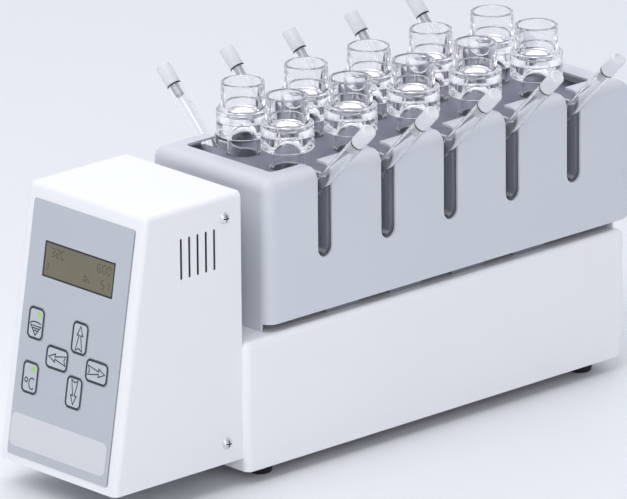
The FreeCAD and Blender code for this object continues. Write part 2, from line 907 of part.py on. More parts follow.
def donor():
    """Upper half of a glass cell: ground ring and open cup with a fire-polished rim."""
    ring = ring_diameter / 2
    tube = donor_tube_diameter / 2
    cup = tube - donor_wall
    orifice = orifice_diameter / 2
    ring_top = joint_plane + donor_ring
    lip = ring_top + donor_rise - donor_wall / 2
    return turned([
        (orifice, joint_plane),
        (ring, joint_plane),
        (ring, ring_top - ring_edge),
        quarter((ring - ring_edge, ring_top - ring_edge), ring_edge, 0, 90),
        (tube, ring_top),
        (tube, lip),
        quarter((tube - donor_wall / 2, lip), donor_wall / 2, 0, 180),
        (cup, joint_plane + donor_floor),
        (orifice, joint_plane + donor_floor),
    ])


def stopper(side):
    """Plug in the mouth of a sampling arm: spigot, dark gasket groove and round-ended cap."""
    cap = stopper_diameter / 2
    spigot = arm_diameter / 2 - arm_wall - stopper_spigot_clearance
    neck = cap - stopper_gasket_inset
    end = stopper_gasket + stopper_length
    plug = turned([
        (0, -stopper_spigot_length),
        (spigot, -stopper_spigot_length),
        (spigot, 0),
        (neck, 0),
        (neck, stopper_gasket),
        (cap, stopper_gasket),
        (cap, end - stopper_round),
        quarter((cap - stopper_round, end - stopper_round), stopper_round, 0, 90),
        (0, end),
    ])
    plug.rotate(Vector(0, 0, 0), Vector(0, 1, 0), side * (90 - arm_tilt_deg))
    mouth = arm_direction(side).multiply(arm_length)
    return moved(plug, mouth.x, mouth.y, well_floor + arm_height + mouth.z)


def stir_bar():
    """Round-ended stirring bar lying on the floor of the chamber."""
    radius = bar_diameter / 2
    straight = bar_length / 2 - radius
    bar = turned([
        (0, -bar_length / 2),
        quarter((0, -straight), radius, -90, 0),
        (radius, straight),
        quarter((0, straight), radius, 0, 90),
    ])
    bar.rotate(Vector(0, 0, 0), Vector(0, 1, 0), 90)
    return moved(bar, 0, 0, well_floor + body_wall + bar_clearance + radius)


def build():
    """Write every sub-part."""
    save("base_cover", base_cover())
    save("base_plate", base_plate())
    save("rubber_feet", rubber_feet())
    save("stirrer_coils", stirrer_coils())
    save("block_spacers", block_spacers())
    save("heating_block", heating_block())
    save("cell_trough", cell_trough())
    save("control_cover", control_cover())
    save("control_chassis", control_chassis())
    save("keypad_overlay", keypad_overlay())
    save("display_board", display_board())
    save("power_inlet", power_inlet())
    save("power_switch", power_switch())
    save("cover_screws", cover_screws())
    for name, key in keys():
        save(name, key)
    cup = donor()
    bar = stir_bar()
    halves = {side: (receptor(side), stopper(side)) for side in (1, -1)}
    for number, side, place in stations():
        across = side * row_spacing / 2
        lower, plug = halves[side]
        save("receptor_" + str(number), moved(lower, across, place, 0))
        save("donor_" + str(number), moved(cup, across, place, 0))
        save("stopper_" + str(number), moved(plug, across, place, 0))
        save("stir_bar_" + str(number), moved(bar, across, place, 0))


build()
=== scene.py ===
import bmesh
import bpy
import math
from mathutils import Matrix, Vector


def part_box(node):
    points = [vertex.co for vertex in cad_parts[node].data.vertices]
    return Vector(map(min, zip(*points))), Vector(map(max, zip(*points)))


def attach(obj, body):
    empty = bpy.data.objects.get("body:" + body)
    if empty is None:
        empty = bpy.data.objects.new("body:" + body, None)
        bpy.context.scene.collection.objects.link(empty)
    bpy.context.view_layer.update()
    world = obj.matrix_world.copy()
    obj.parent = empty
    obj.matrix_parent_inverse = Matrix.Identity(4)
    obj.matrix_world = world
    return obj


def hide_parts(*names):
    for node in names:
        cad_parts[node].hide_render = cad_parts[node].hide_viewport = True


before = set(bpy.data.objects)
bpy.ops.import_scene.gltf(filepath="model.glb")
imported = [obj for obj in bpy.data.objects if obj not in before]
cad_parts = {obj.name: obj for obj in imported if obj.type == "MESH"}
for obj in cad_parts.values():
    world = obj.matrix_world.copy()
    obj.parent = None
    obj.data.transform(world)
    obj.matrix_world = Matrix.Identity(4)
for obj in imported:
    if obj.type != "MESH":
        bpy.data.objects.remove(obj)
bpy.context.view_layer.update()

# Rubber feet
# Four tapered bumpers moulded in black rubber, each screwed to the bottom plate through its recess.
# They carry the whole instrument and are the only parts that touch the bench.
mm = 0.001


def linear(hex_code):
    """An sRGB hex colour as the linear colour that a shader takes."""
    shares = [int(hex_code[place:place + 2], 16) / 255 for place in (1, 3, 5)]
    return [share / 12.92 if share <= 0.04045 else ((share + 0.055) / 1.055) ** 2.4
            for share in shares] + [1.0]


def feed(tree, node, inputs):
    """Fill a node's inputs, each with a value, a socket or the node that feeds it."""
    for socket, value in inputs.items():
        if isinstance(value, bpy.types.Node):
            value = next(output for output in value.outputs if output.enabled)
        if isinstance(value, bpy.types.NodeSocket):
            tree.links.new(value, node.inputs[socket])
        else:
            node.inputs[socket].default_value = value
    return node


def add(tree, kind, inputs=None, **settings):
    """Add a shader node with its settings and what feeds it."""
    node = tree.nodes.new("ShaderNode" + kind)
    for key, value in settings.items():
        setattr(node, key, value)
    return feed(tree, node, inputs or {})


def surface(name, first, second, drift, grain, depth, gloss, constant=None):
    """A material whose colour and gloss drift over one size, with a relief of another size and a depth.

    Grit finer than 0.4 mm wouldn't show in the render, so the finest finishes are drawn that coarse.
    """
    material = bpy.data.materials.new(name)
    material.use_nodes = True
    tree = material.node_tree
    skin = tree.nodes["Principled BSDF"]
    place = add(tree, "TexCoord").outputs["Object"]
    cloud = add(tree, "TexNoise", {"Vector": place, "Scale": 1 / drift, "Detail": 3.0})
    tint = add(tree, "Mix", {0: cloud, 6: linear(first), 7: linear(second)}, data_type="RGBA")
    dull = add(tree, "MapRange", {"Value": cloud, "To Min": gloss[0], "To Max": gloss[1]})
    pits = add(tree, "TexNoise", {"Vector": place, "Scale": 1 / grain, "Detail": 2.0})
    relief = add(tree, "Bump", {"Height": pits, "Strength": 1.0, "Distance": depth})
    feed(tree, skin, {"Base Color": tint, "Roughness": dull, "Normal": relief})
    feed(tree, skin, constant or {})
    return material, tree, skin, place, tint


def dress(node, material):
    """Give a CAD node its finish."""
    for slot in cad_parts[node].material_slots:
        slot.material = material


# Moulded nitrile rubber: near black, dull, with a faint grey bloom and the grit of the mould
rubber = surface("moulded_rubber", "#141517", "#212225", 5 * mm, 0.6 * mm, 0.03 * mm, (0.7, 0.85))[0]
dress("rubber_feet", rubber)

# Base plate
# Closes the housing from below: zinc-plated steel sheet, folded up at the rear, held by six screws.
# Bright zinc shows soft spangles under a thin clear passivation, bluish beside the paint.
zinc = surface("zinc_plated_steel", "#9BA1A8", "#C3C8CD", 14 * mm, 1.2 * mm, 0.004 * mm, (0.3, 0.45),
               {"Metallic": 1.0})[0]
dress("base_plate", zinc)

# Base cover
# One piece of steel sheet folded into a tray upside down, spot-welded at the corners and painted.
# It carries the trough on its top, and the lips along its foot take the bottom plate.


def powder_coat(name, first, second):
    """Polyester powder baked on steel: an even, nearly matt coat with a fine orange peel."""
    return surface(name, first, second, 90 * mm, 1.6 * mm, 0.012 * mm, (0.5, 0.6),
                   {"Coat Weight": 0.05, "Coat Roughness": 0.35})


dress("base_cover", powder_coat("powder_coat_white", "#F6F7FA", "#F9FAFC")[0])

# Stirrer coils
# Ten bobbins of enamelled copper wire on one carrier under the base top, hidden once the cover is on.
# Each turns the magnet bar in the cell above it; the wire shows as fine even turns between two flanges.
wire, wire_tree, wire_skin, wire_place, wire_tint = surface(
    "enamelled_copper_wire", "#8A4A22", "#B2652F", 9 * mm, 0.8 * mm, 0.01 * mm, (0.3, 0.45))
turn_pitch = 2 * mm
winding_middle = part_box("stirrer_coils")[1].z - 9 * mm
winding_half = 7 * mm
height = add(wire_tree, "SeparateXYZ", {0: wire_place}).outputs["Z"]
turns = add(wire_tree, "TexWave", {"Vector": wire_place, "Scale": 1 / (turn_pitch * math.pi),
                                   "Distortion": 0.4}, bands_direction="Z")
wound = add(wire_tree, "Math", {0: height, 1: winding_middle, 2: winding_half}, operation="COMPARE")
tape = add(wire_tree, "Mix", {0: turns, 6: wire_tint.outputs[2], 7: linear("#5A2C12")}, data_type="RGBA")
coil_tint = add(wire_tree, "Mix", {0: wound, 6: linear("#33363B"), 7: tape}, data_type="RGBA")
feed(wire_tree, wire_skin, {"Base Color": coil_tint, "Metallic": wound})
dress("stirrer_coils", wire)

# Block spacers
# Strips sawn from glass-filled sheet that keep the hot block off the base top, glued at both faces.
# The saw leaves a matt, faintly fibrous edge, grey beside the dark gap that they stand in.
dress("block_spacers", surface("glass_filled_laminate", "#878B95", "#9EA2AC", 4 * mm, 0.7 * mm, 0.02 * mm,
                               (0.55, 0.7))[0])

# Heating block
# Milled from one bar of aluminium and hard anodised grey, with ten keyhole wells bored from its deck.
# The wells are chamfered after anodising, and each cut edge round a keyhole is painted near white, partly its
# bare metal and partly a painted highlight.
block_metal, block_tree, block_skin, _, block_tint = surface(
    "anodised_aluminium", "#B4B7C3", "#C3C6D2", 30 * mm, 0.9 * mm, 0.006 * mm, (0.38, 0.5), {"Metallic": 0.45})
deck_facing = 0.9
chamfer_facing, chamfer_spread = 0.7, 0.15
block_normal = add(block_tree, "NewGeometry").outputs["True Normal"]
facing = add(block_tree, "SeparateXYZ", {0: block_normal}).outputs["Z"]
# The deck, every face that looks up, is painted a darker grey than the walls as painted shade
on_deck = add(block_tree, "Math", {0: facing, 1: deck_facing}, operation="GREATER_THAN")
painted_deck_shade = add(block_tree, "Mix", {0: on_deck, 6: block_tint.outputs[2], 7: linear("#8C8F9E")},
                data_type="RGBA")
# Faces tilted like the chamfers are painted near white as a highlight
chamfer_highlight_mask = add(block_tree, "Math", {0: facing, 1: chamfer_facing, 2: chamfer_spread}, operation="COMPARE")
painted_chamfer_highlight = add(block_tree, "Mix", {0: chamfer_highlight_mask, 6: painted_deck_shade.outputs[2], 7: linear("#F4F6FA")},
                data_type="RGBA")
feed(block_tree, block_skin, {"Base Color": painted_chamfer_highlight})
dress("heating_block", block_metal)

# Cell trough
# Folded steel channel round the block, slotted down both sides for the arms, on two feet at its ends.
# Painted pale grey, a little darker than the base; the paint rounds each cut edge.
dress("cell_trough", powder_coat("powder_coat_pale_grey", "#D5D9E1", "#DADDE4")[0])

# Control chassis
# Floor, back and screw flanges of the control box in one folded zinc-plated sheet, behind the cover.
# Its back closes against the base.
dress("control_chassis", zinc)

# Display and circuit board
# A liquid crystal module and the key switches on a green board that hangs behind the panel.
# The module's glass fills the panel's window, olive grey under its polariser, with dark digits.
control_low, control_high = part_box("control_cover")
panel_setback = 30 * mm
panel_lean = math.atan2(panel_setback, control_high.z - control_low.z)
panel = (Matrix.Translation((0, control_low.y, control_low.z))
         @ Matrix.Rotation(math.pi / 2 - panel_lean, 4, "X"))
glass_top = 0.3 * mm
window_half = Vector((33.5, 11.7)) * mm
window_middle = Vector((0, 136.1)) * mm
window_round = 1 * mm
ink = 0.04 * mm


def rounded(half, radius, middle=Vector((0, 0)), steps=6):
    """The outline of a rectangle with round corners, anticlockwise."""
    points = []
    for number, (side, end) in enumerate(((1, 1), (-1, 1), (-1, -1), (1, -1))):
        for step in range(steps + 1):
            turn = math.radians(90 * (number + step / steps))
            across = side * (half.x - radius) + radius * math.cos(turn)
            up = end * (half.y - radius) + radius * math.sin(turn)
            points.append(Vector((across, up)) + middle)
    return points


def line(shell, path, width, low, high, closed=True):
    """Draw a flat strip along a path into a mesh, mitred at its corners, from one height to another."""
    rows = []
    for number, point in enumerate(path):
        before = path[number - 1] if closed or number else point
        after = path[(number + 1) % len(path)] if closed or number < len(path) - 1 else point
        ways = [way.normalized() for way in (point - before, after - point) if way.length > 0]
        sides = [Vector((-way.y, way.x)) for way in ways]
        out = sum(sides, Vector((0, 0)))
        out *= width / 2 / max(out.dot(sides[0]), 0.45)
        rows.append([shell.verts.new((*(point + way * out), height))
                     for way, height in ((1, low), (-1, low), (-1, high), (1, high))])
    for first, second in zip(rows, rows[1:] + rows[:1] if closed else rows[1:]):
        for corner in range(4):
            after = (corner + 1) % 4
            shell.faces.new((first[corner], first[after], second[after], second[corner]))
    if not closed:
        shell.faces.new(rows[0])
        shell.faces.new(rows[-1])


def pad(shell, path, low, high):
    """Draw a filled outline into a mesh as a plate, from one height to another."""
    layers = [[shell.verts.new((*point, height)) for point in path] for height in (low, high)]
    for layer in layers:
        shell.faces.new(layer)
    for number in range(len(path)):
        after = (number + 1) % len(path)
        shell.faces.new((layers[0][number], layers[0][after], layers[1][after], layers[1][number]))


def close(shell, name, sharp=35):
    """The mesh of a drawn shape, its faces outwards, smooth but for its sharp edges."""
    bmesh.ops.recalc_face_normals(shell, faces=shell.faces)
    mesh = bpy.data.meshes.new(name)
    shell.to_mesh(mesh)
    shell.free()
    mesh.shade_smooth()
    mesh.set_sharp_from_angle(angle=math.radians(sharp))
    return mesh


def show(name, data):
    """A new object in the scene that shows a mesh, a light or a camera."""
    item = bpy.data.objects.new(name, data)
    bpy.context.scene.collection.objects.link(item)
    return item


def fit(name, mesh, material, body, at=Matrix(), stands_for=()):
    """Put a mesh in its place as a piece that rides on a body."""
    if not mesh.materials:
        mesh.materials.append(material)
    piece = show(name, mesh)
    piece.matrix_world = at
    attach(piece, body)
    if stands_for:
        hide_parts(*stands_for)
    return piece


# Glass-epoxy board with a green solder mask: satin, with the weave just showing through
dress("display_board", surface("green_circuit_board", "#1D4A33", "#2A5E42", 8 * mm, 0.9 * mm, 0.01 * mm,
                               (0.3, 0.45))[0])

# Polariser film on glass: olive grey with a slow drift of tone and a soft sheen
crystal = surface("polarised_glass", "#646149", "#736F55", 25 * mm, 1.5 * mm, 0.002 * mm, (0.12, 0.2),
                  {"Coat Weight": 0.6, "Coat Roughness": 0.05})[0]
glass_gap = 0.1 * mm
shell = bmesh.new()
pad(shell, rounded(window_half - Vector((glass_gap, glass_gap)), window_round, window_middle), glass_top,
    glass_top + 2 * ink)
fit("display_glass", close(shell, "display_glass"), crystal, "root", panel)

# Dark ring round the glass between the module and the film: dull, partly the bezel's dark edge and partly
# painted shade of the gap
bezel_and_gap_shade = surface("black_bezel_and_gap_shade", "#26272D", "#383A42", 3 * mm, 0.5 * mm, 0.03 * mm, (0.8, 0.95))[0]
frame_width = 1.1 * mm
shell = bmesh.new()
line(shell, rounded(window_half - Vector((1, 1)) * frame_width / 2, window_round, window_middle), frame_width,
     glass_top + 2 * ink, glass_top + 5 * ink)
fit("display_frame", close(shell, "display_frame"), bezel_and_gap_shade, "root", panel)

# Segments of the crystal: dark olive where they are driven
driven = surface("driven_crystal", "#44432F", "#55533C", 6 * mm, 1 * mm, 0.001 * mm, (0.2, 0.3))[0]
digit_half = Vector((1.5, 2.6)) * mm
digit_pitch = 4.6 * mm
segment = 0.62 * mm
segment_gap = 0.6 * segment
segment_ends = {"a": ((-1, 1), (1, 1)), "b": ((1, 1), (1, 0)), "c": ((1, 0), (1, -1)), "d": ((-1, -1), (1, -1)),
                "e": ((-1, 0), (-1, -1)), "f": ((-1, 1), (-1, 0)), "g": ((-1, 0), (1, 0))}
figures = {"0": "abcdef", "1": "bc", "2": "abged", "3": "abgcd", "5": "afgcd", "6": "afgedc", "C": "afed",
           "h": "fegc"}
upper_row, lower_row = 5.2 * mm, -4.6 * mm
readings = (("32C", -23, upper_row), ("600", 21, upper_row),
            ("1", -28, lower_row), ("1h", 6.5, lower_row), ("51", 25.5, lower_row))
shell = bmesh.new()
for text, across, up in readings:
    for number, letter in enumerate(text):
        middle = window_middle + Vector((across * mm + number * digit_pitch - digit_pitch / 2, up))
        for name in figures[letter]:
            start, end = [Vector((x * digit_half.x, y * digit_half.y)) for x, y in segment_ends[name]]
            inset = (end - start).normalized() * segment_gap
            line(shell, [middle + start + inset, middle + end - inset], segment, glass_top + 2 * ink,
                 glass_top + 3 * ink, False)
fit("display_digits", close(shell, "display_digits"), driven, "root", panel)

# Control cover
# Folded steel box front with its sloping panel, five vents and two screws in each side, painted white.
# It slides over the chassis and covers its flanges.
box_paint, box_tree, box_skin, box_place, box_tint = powder_coat(
    "powder_coat_bright_white", "#F2F3F6", "#F6F7F9")

# The vents' cut edges and what shows through them inside the box are painted dark grey as shade
skin_depth = 0.3 * mm
vents_middle = Vector((0, -154.4 * mm, control_high.z - 33.8 * mm))
vents_reach = Vector((0, 17, 17)) * mm
spot = add(box_tree, "SeparateXYZ", {0: box_place}).outputs
off_side = add(box_tree, "Math", {0: spot["X"]}, operation="ABSOLUTE")
vent_shade_mask = add(box_tree, "Math", {0: off_side, 1: control_high.x - skin_depth}, operation="LESS_THAN")
for axis in "YZ":
    near = add(box_tree, "Math", {0: spot[axis], 1: getattr(vents_middle, axis.lower()),
                                  2: getattr(vents_reach, axis.lower())}, operation="COMPARE")
    vent_shade_mask = add(box_tree, "Math", {0: vent_shade_mask, 1: near}, operation="MULTIPLY")
# Painted shade inside the vents
painted_vent_shade = add(box_tree, "Mix", {0: vent_shade_mask, 6: box_tint.outputs[2], 7: linear("#4A4C51")}, data_type="RGBA")
feed(box_tree, box_skin, {"Base Color": painted_vent_shade})
dress("control_cover", box_paint)

# Keypad overlay
# Polyester film printed on its back and bonded to the panel, with a bare white plate at its foot.
# Its fine velvet finish spreads the light, and a thin darker line runs down its right edge.
film, film_tree, film_skin, film_place, film_tint = surface(
    "velvet_polyester_film", "#BBC0C9", "#C1C5CC", 40 * mm, 0.5 * mm, 0.006 * mm, (0.42, 0.5))
overlay_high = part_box("keypad_overlay")[1]
rim_width = 0.7 * mm
across = add(film_tree, "SeparateXYZ", {0: film_place}).outputs["X"]
rim = add(film_tree, "Math", {0: across, 1: overlay_high.x, 2: rim_width}, operation="COMPARE")
rim_tint = add(film_tree, "Mix", {0: rim, 6: film_tint.outputs[2], 7: linear("#8E939C")}, data_type="RGBA")
feed(film_tree, film_skin, {"Base Color": rim_tint})
dress("keypad_overlay", film)
overlay_top = 0.5 * mm
plate_half = Vector((45.5, 10.8)) * mm
plate_middle = Vector((-1.6, 21.7)) * mm
plate_round = 4.5 * mm

# White ink screen-printed on the film: plain and even, with a soft sheen
plate_ink = surface("white_screen_ink", "#D8D9DE", "#DBDDE1", 20 * mm, 0.6 * mm, 0.003 * mm, (0.4, 0.5))[0]
shell = bmesh.new()
pad(shell, rounded(plate_half, plate_round, plate_middle), overlay_top, overlay_top + ink)
fit("bare_name_plate", close(shell, "bare_name_plate"), plate_ink, "root", panel)

# Keys
# Six pads of the film, each over its own switch, outlined in dark grey ink with a sign on each.
# The two of the left column have a lamp behind the film that lights a soft spot of lime.
key_ink = surface("dark_screen_ink", "#2B2F37", "#383C45", 5 * mm, 0.4 * mm, 0.003 * mm, (0.4, 0.5))[0]
key_film = surface("velvet_key_film", "#C0C5CD", "#C6C9D1", 15 * mm, 0.5 * mm, 0.006 * mm, (0.42, 0.5))[0]
key_top = 0.8 * mm
key_outline = 1.5 * mm
key_round = 3 * mm
sign_line = 0.85 * mm
key_half = Vector((7.5, 10.5)) * mm
arrow = [Vector(point) * mm for point in ((0, 7.7), (-2.7, 1.8), (-0.8, 1.8), (-3, -8.2), (0, -6.7), (3, -8.2),
                                          (0.8, 1.8), (2.7, 1.8))]
degree_middle, degree_half = (-3.3, -2), (1.4, 1.4)
letter_middle, letter_half = (2.2, -3.6), (2.7, 3.6)
swirl_middle, swirl_half = (0, -0.6), (4.9, 1.5)
swirl_cone = [Vector(point) * mm for point in ((-4.6, -1.8), (4.9, -1.8), (0.3, -7.8))]
swirl_strokes = ((-3.0, 3.4, -3.3), (-1.7, 2.1, -4.8))
key_signs = {
    "key_up": (8.2, 93.1, 0), "key_left": (-10.8, 75.3, 90), "key_down": (8.2, 57.5, 180),
    "key_right": (27.2, 75.3, 270), "key_stir": (-33.8, 93.1, None), "key_temperature": (-33.8, 57.5, None),
}


def oval(middle, half, from_deg, to_deg, steps=24):
    """Points along an oval, in millimetres."""
    turns = [math.radians(from_deg + (to_deg - from_deg) * step / steps) for step in range(steps + 1)]
    return [Vector((middle[0] + half[0] * math.cos(turn), middle[1] + half[1] * math.sin(turn))) * mm
            for turn in turns]


# The lit spot is painted glow: lime colour fading out to the film's grey, with no light given off
lamp, lamp_tree, lamp_skin, lamp_place, lamp_tint = surface(
    "painted_lamp_glow", "#9ED23A", "#B4E052", 3 * mm, 0.5 * mm, 0.004 * mm, (0.4, 0.5))
lamp_radius = 2.6 * mm
lamp_core = 0.35 * lamp_radius
lamp_middle = Vector((2.4, 6.1, 0)) * mm
from_middle = add(lamp_tree, "VectorMath", {0: lamp_place}, operation="LENGTH").outputs["Value"]
fade = add(lamp_tree, "MapRange", {"Value": from_middle, "From Min": lamp_core, "From Max": lamp_radius},
           interpolation_type="SMOOTHSTEP")
glow = add(lamp_tree, "Mix", {0: fade, 6: lamp_tint.outputs[2], 7: linear("#C3C7CF")}, data_type="RGBA")
feed(lamp_tree, lamp_skin, {"Base Color": glow})

for name, (key_across, key_up, turn) in key_signs.items():
    dress(name, key_film)
    at = panel @ Matrix.Translation((key_across * mm, key_up * mm, 0))
    half = key_half if turn not in (90, 270) else key_half.yx
    if turn is not None:
        spin = Matrix.Rotation(math.radians(turn), 2)
        strokes = [([spin @ point for point in arrow], True)]
    elif name == "key_temperature":
        strokes = [(oval(degree_middle, degree_half, 0, 360)[:-1], True),
                   (oval(letter_middle, letter_half, 48, 312), False)]
    else:
        strokes = [(oval(swirl_middle, swirl_half, 200, 20), False), (swirl_cone, True)]
        strokes += [([Vector((left, drop)) * mm, Vector((right, drop)) * mm], False)
                    for left, right, drop in swirl_strokes]
    shell = bmesh.new()
    line(shell, rounded(half - Vector((1, 1)) * key_outline / 2, key_round, steps=8), key_outline, key_top,
         key_top + ink)
    for path, closed in strokes:
        line(shell, path, sign_line, key_top, key_top + ink, closed)
    fit("sign_" + name, close(shell, "sign_" + name), key_ink, name, at)
    if turn is None:
        shell = bmesh.new()
        pad(shell, oval((0, 0), (lamp_radius / mm, lamp_radius / mm), 0, 360, 40)[:-1], 0, ink)
        fit("lamp_" + name, close(shell, "lamp_" + name), lamp, name,
            at @ Matrix.Translation(lamp_middle + Vector((0, 0, key_top + ink / 2))))

# Cover screws
# Ten stainless pan heads with a cross recess: four in the sides of the control box, six from below.
# The turned domes are bright and pick up the light in one spot, and the cross recess is painted dark as shade.


def bend(middle, radius, from_deg, to_deg, steps=6):
    """Points along a round corner of a turned outline."""
    turns = [math.radians(from_deg + (to_deg - from_deg) * step / steps) for step in range(steps + 1)]
    return [(middle[0] + radius * math.cos(turn), middle[1] + radius * math.sin(turn)) for turn in turns]


def turned(name, outline, sides=72, sharp=35):
    """A mesh turned about Z from a closed half outline; a point on the axis becomes a pole."""
    shell = bmesh.new()
    rings = []
    for radius, height in outline:
        turns = [2 * math.pi * step / sides for step in range(sides if radius > 0 else 1)]
        rings.append([shell.verts.new((radius * math.cos(turn), radius * math.sin(turn), height))
                      for turn in turns])
    for first, second in zip(rings, rings[1:] + rings[:1]):
        for step in range(sides):
            after = (step + 1) % sides
            corners = [first[step % len(first)], first[after % len(first)], second[after % len(second)],
                       second[step % len(second)]]
            corners = list(dict.fromkeys(corners))
            if len(corners) > 2:
                shell.faces.new(corners)
    return close(shell, name, sharp)


merge = 0.002 * mm


def combined(name, first, second, operation, sharp=35):
    """The mesh that is left when two meshes are united or one is cut from the other."""
    pair = [show(name + "_work", mesh) for mesh in (first, second)]
    cut = pair[0].modifiers.new("cut", "BOOLEAN")
    cut.object, cut.operation, cut.solver = pair[1], operation, "EXACT"
    ready = pair[0].evaluated_get(bpy.context.evaluated_depsgraph_get())
    mesh = bpy.data.meshes.new_from_object(ready)
    for piece in pair:
        bpy.data.objects.remove(piece)
    shell = bmesh.new()
    shell.from_mesh(mesh)
    bmesh.ops.remove_doubles(shell, verts=shell.verts, dist=merge)
    bmesh.ops.dissolve_degenerate(shell, edges=shell.edges, dist=merge / 2)
    return close(shell, name, sharp)


head_radius = 4 * mm
head_height = 2.4 * mm
shank_radius = 1.9 * mm
shank_length = 6 * mm
dome_drop = (head_radius ** 2 - head_height ** 2) / (2 * head_height)
dome_deg = math.degrees(math.atan2(dome_drop, head_radius))
dome = bend((0, -dome_drop), dome_drop + head_height, dome_deg, 90, 8)
screw_mesh = turned("screw_blank", [(0, -shank_length), (shank_radius, -shank_length), (shank_radius, 0)]
                    + dome[:-1] + [(0, head_height)], 40)
recess_half = 2.3 * mm
recess_width = 0.8 * mm
recess_depth = 1.3 * mm
recess_round = 0.2 * mm
recess_overrun = 1 * mm
for across_half, up_half in ((recess_half, recess_width / 2), (recess_width / 2, recess_half)):
    shell = bmesh.new()
    pad(shell, rounded(Vector((across_half, up_half)), recess_round, steps=2), head_height - recess_depth,
        head_height + recess_overrun)
    screw_mesh = combined("pan_head_screw", screw_mesh, close(shell, "recess"), "DIFFERENCE", 30)

# Stainless steel turned bright, with the cross recess painted dark as shade
steel, steel_tree, steel_skin, steel_place, steel_tint = surface(
    "turned_stainless_steel", "#DADCE0", "#E8E9EC", 3 * mm, 0.4 * mm, 0.004 * mm, (0.38, 0.5),
    {"Metallic": 1.0})
dome_skin = 0.1 * mm
shade_low = 0.6 * mm
from_centre = add(steel_tree, "VectorMath", {0: steel_place, 1: (0.0, 0.0, -dome_drop)},
                  operation="DISTANCE").outputs["Value"]
under_dome = add(steel_tree, "Math", {0: from_centre, 1: dome_drop + head_height - dome_skin},
                 operation="LESS_THAN")
up_screw = add(steel_tree, "SeparateXYZ", {0: steel_place}).outputs["Z"]
in_head = add(steel_tree, "Math", {0: up_screw, 1: shade_low}, operation="GREATER_THAN")
in_recess = add(steel_tree, "Math", {0: under_dome, 1: in_head}, operation="MULTIPLY")
painted_recess_shade = add(steel_tree, "Mix", {0: in_recess, 6: steel_tint.outputs[2], 7: linear("#3C3E42")}, data_type="RGBA")
feed(steel_tree, steel_skin, {"Base Color": painted_recess_shade})

side_screws = Vector((56, -131.15)) * mm
side_screw_heights = (31.4, 182.6)
foot_screws = Vector((53.3, 9)) * mm
foot_screw_places = (-49.9, 51.5, 152.9)
screw_places = []
for side in (1, -1):
    for up in side_screw_heights:
        screw_places.append(Matrix.Translation((side * side_screws.x, side_screws.y, up * mm))
                            @ Matrix.Rotation(side * math.pi / 2, 4, "Y"))
    for along in foot_screw_places:
        screw_places.append(Matrix.Translation((side * foot_screws.x, along * mm, foot_screws.y))
                            @ Matrix.Rotation(math.pi, 4, "X"))
for number, at in enumerate(screw_places):
    fit("cover_screw_" + str(number + 1), screw_mesh, steel, "root", at, ["cover_screws"])

# Power inlet
# Mains inlet and switch seat moulded in one black frame that snaps into the rear panel.
# Glass-filled nylon: satin black with a fine spark-eroded texture.
nylon = surface("moulded_black_nylon", "#1B1C1F", "#26272B", 6 * mm, 0.7 * mm, 0.02 * mm, (0.4, 0.55))[0]
dress("power_inlet", nylon)

# Power switch
# Rocker of glossy black plastic that tips about a pin behind the frame, with a white bar and ring.
# The bar is on the half that switches on.
rocker_gloss = surface("glossy_black_plastic", "#161719", "#1E1F22", 8 * mm, 1.2 * mm, 0.003 * mm,
                       (0.15, 0.22))[0]
dress("power_switch", rocker_gloss)
rocker_pin = Vector((-42, 219.5, 56)) * mm
rocker_dip = 4 * mm
rocker_tilt = math.radians(10)
rocker = (Matrix.Translation(rocker_pin) @ Matrix.Rotation(math.pi, 4, "Z")
          @ Matrix.Rotation(math.pi / 2, 4, "X") @ Matrix.Rotation(rocker_tilt, 4, "X"))
mark_up = 4.6 * mm
bar_half = Vector((0, 1.8)) * mm
bar_width = 0.8 * mm
ring_half = (1.6, 1.6)
ring_width = 0.7 * mm
white_ink = surface("white_pad_ink", "#E4E6E8", "#F0F1F3", 3 * mm, 0.4 * mm, 0.002 * mm, (0.35, 0.45))[0]
for side, name in ((1, "mark_on"), (-1, "mark_off")):
    shell = bmesh.new()
    if side == 1:
        line(shell, [-bar_half, bar_half], bar_width, 0, 2 * ink, False)
    else:
        line(shell, oval((0, 0), ring_half, 0, 360)[:-1], ring_width, 0, 2 * ink)
    at = (rocker @ Matrix.Translation((0, side * mark_up, rocker_dip + mark_up * math.tan(rocker_tilt)))
          @ Matrix.Rotation(side * rocker_tilt, 4, "X"))
    fit(name, close(shell, name), white_ink, "power_switch", at)

# Glass cells
# Each cell is two pieces of blown borosilicate glass: a jacketless chamber with a slanting sampling arm,
# and an open cup above it. Their thick flanges are ground flat, and meet at the membrane.
cell_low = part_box("receptor_1")[0]
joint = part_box("donor_1")[0].z
floor_drop = cell_low.z - joint
body_radius = 10.5 * mm
body_round = 3 * mm
inside_round = 2 * mm
wall = 1.5 * mm
flange_radius = 17.4 * mm
flange_round = 0.8 * mm
flange_edge = 0.3 * mm
lower_flange = 10 * mm
upper_flange = 7.5 * mm
cove = 3 * mm
orifice = 7.5 * mm
orifice_round = 0.2 * mm
arm_radius = 4.75 * mm
arm_length = 93 * mm
arm_start = 18 * mm
arm_tilt = math.pi / 4
cup_radius = 14.25 * mm
cup_wall = 2.25 * mm
cup_floor = 3 * mm
cup_floor_round = 1.5 * mm
cup_neck_round = 0.8 * mm
cup_top = 25.5 * mm
half_seam = 0.05 * mm
overrun = 2 * mm

# Clear borosilicate: colourless and fire-smooth, so it shows white light with thin dark lines at its
# edges, and bends what lies behind it a little where the wall drifts
glass = surface("borosilicate_glass", "#FEFEFF", "#FFFFFF", 20 * mm, 14 * mm, 0.01 * mm, (0.0, 0.01),
                {"Transmission Weight": 1.0, "IOR": 1.47})[0]

